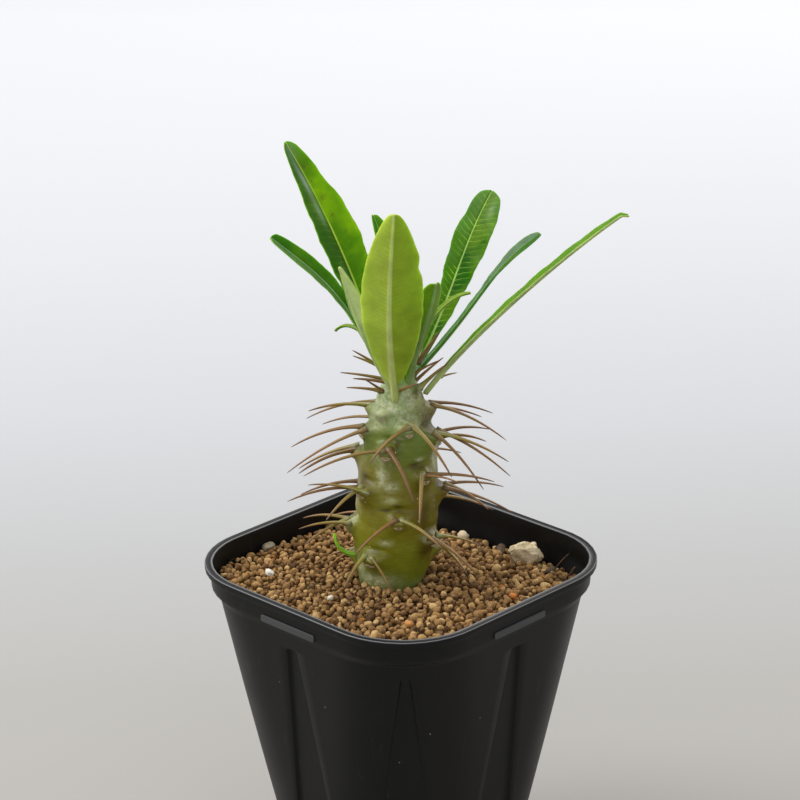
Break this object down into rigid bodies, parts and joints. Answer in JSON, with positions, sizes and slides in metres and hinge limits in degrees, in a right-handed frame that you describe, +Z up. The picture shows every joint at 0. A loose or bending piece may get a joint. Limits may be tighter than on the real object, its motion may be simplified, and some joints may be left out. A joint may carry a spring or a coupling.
{
  "type": "potted pachypodium ambongense",
  "caption": "Young spiny succulent with a waxy green stem and waved leaves, in a square tapered nursery pot of clay granules.",
  "frame": {"origin": "middle of the underside of the pot", "axes": "+Z up; the pot's four sides face +X, -X, +Y and -Y; the picture's view comes from between +X and -Y"},
  "size_m": [0.0945, 0.09, 0.2144],
  "materials": {
    "pot_plastic": "black injection-moulded plastic, satin, dusty and faintly scratched",
    "clay_granules": "dry fired clay granules, tan-brown, matte and dusty",
    "pumice": "rough beige pumice",
    "plant_skin": "waxy green succulent skin with a pale bloom; golden-brown woody spines",
    "leaf": "leathery green leaf, glossy above and pale matte below, with a pale rib"
  },
  "bodies": {
    "root": {"pot": "pot_plastic", "soil": "clay_granules", "pumice_stone": "pumice", "stem": "plant_skin", "leaf_front": "leaf", "leaf_left_large": "leaf", "leaf_left_low": "leaf", "leaf_left_young": "leaf", "leaf_left_hook": "leaf", "leaf_back_small": "leaf", "leaf_back_right": "leaf", "leaf_right_short": "leaf", "leaf_right_curl": "leaf", "leaf_right_narrow": "leaf", "leaf_right_long": "leaf", "leaf_foot": "leaf"}
  },
  "joints": []
}
